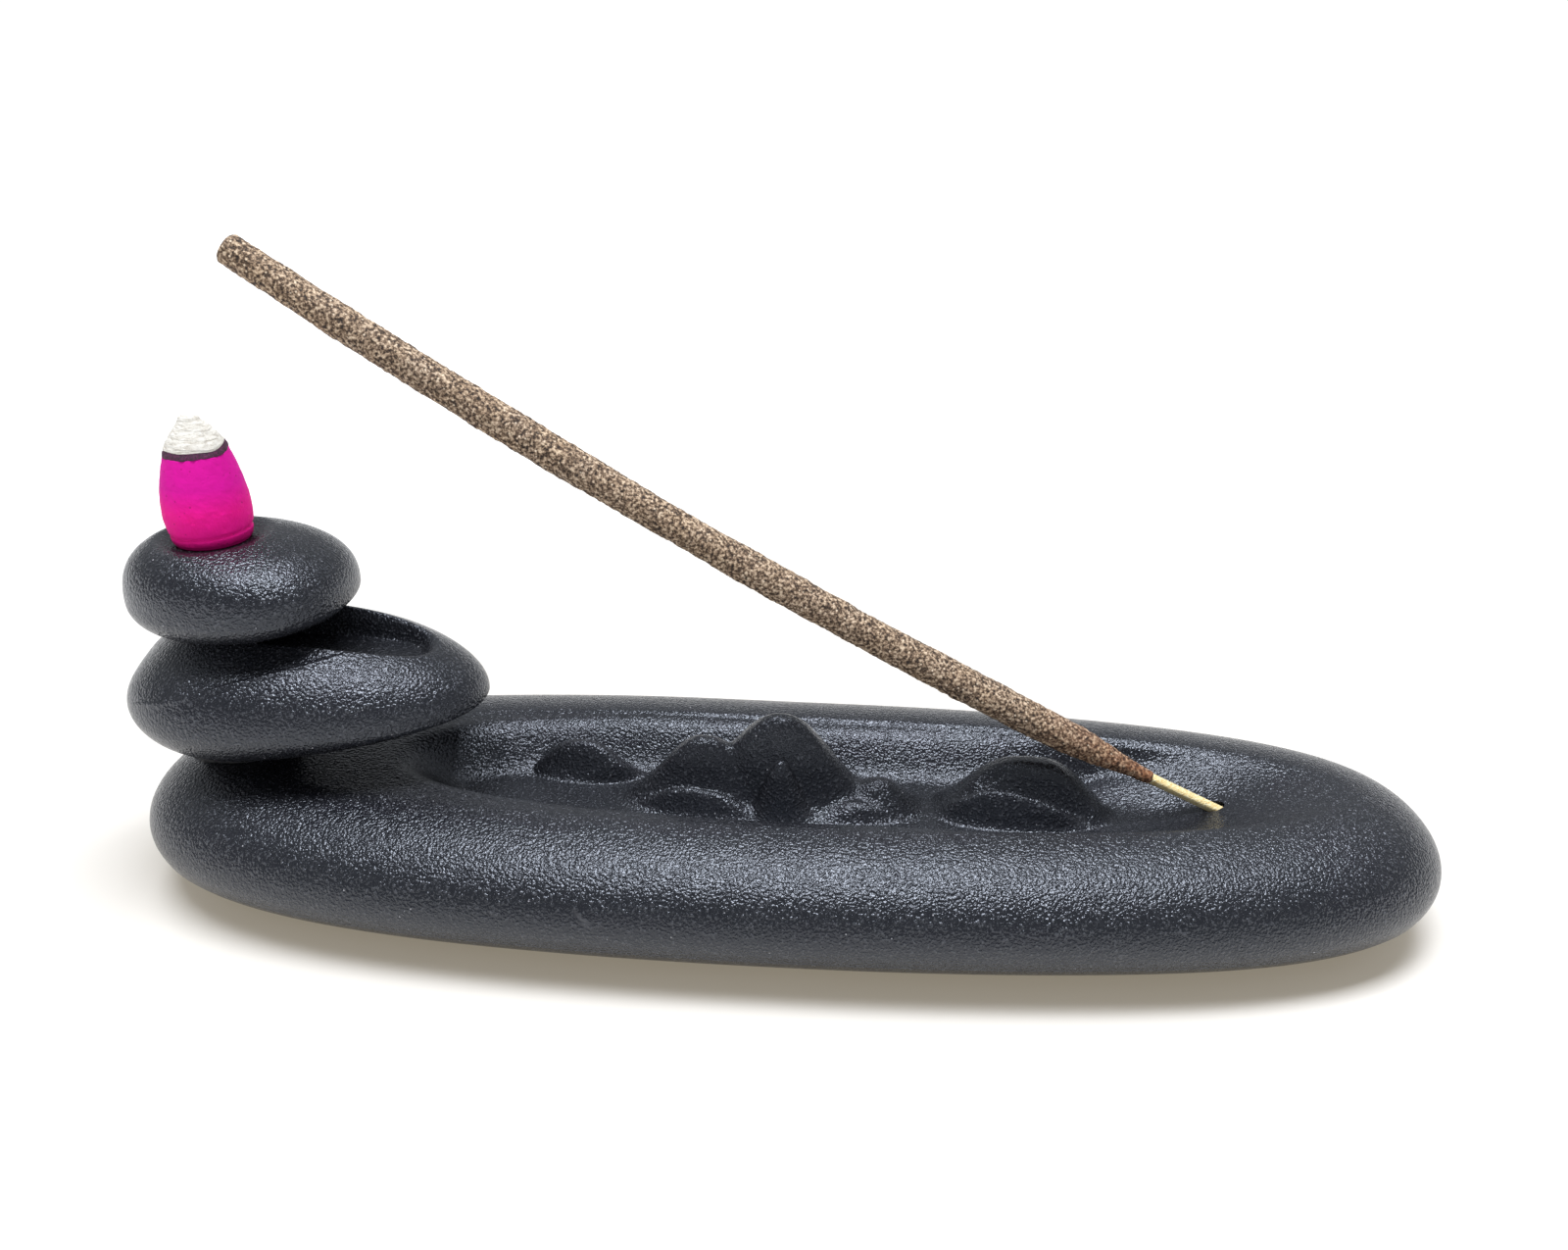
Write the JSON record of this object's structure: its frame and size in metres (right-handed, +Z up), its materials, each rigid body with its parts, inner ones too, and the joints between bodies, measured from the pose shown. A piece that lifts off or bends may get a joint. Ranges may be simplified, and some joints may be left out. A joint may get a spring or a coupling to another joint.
{
  "type": "backflow incense burner",
  "caption": "Long oval ceramic tray with a dish and modelled hills, stacked pebbles that carry a smoke cone, and a slanted hole that holds an incense stick.",
  "frame": {"origin": "on the table under the middle of the tray", "axes": "+X along the tray from the pebbles to the stick hole, +Y to the back, +Z up"},
  "size_m": [0.2, 0.061, 0.0979],
  "materials": {
    "black_ceramic": "satin, fine granular texture",
    "clay_joint": "matte",
    "felt": "matte felt",
    "magenta_incense": "matte pressed powder",
    "charred_incense": "matte char",
    "ash": "matte flaky ash",
    "bamboo": "satin split bamboo",
    "brown_incense": "matte rolled powder"
  },
  "bodies": {
    "burner": {"felt_base": "felt", "tray": "black_ceramic", "small_hill": "black_ceramic", "mountain_range": "black_ceramic", "right_boulder": "black_ceramic", "lower_luting": "clay_joint", "lower_pebble": "black_ceramic", "upper_luting": "clay_joint", "upper_pebble": "black_ceramic"},
    "cone": {"cone_body": "magenta_incense", "char_band": "charred_incense", "ash_cap": "ash"},
    "stick": {"stick_core": "bamboo", "stick_coating": "brown_incense"}
  },
  "joints": [
    {"name": "cone_lift", "type": "slide", "parent": "burner", "child": "cone", "axis": [-0.0262, 0, 0.9997], "range_m": [0, 0.015]},
    {"name": "stick_pull", "type": "slide", "parent": "burner", "child": "stick", "axis": [-0.9056, 0, 0.4242], "range_m": [0, 0.05]}
  ]
}
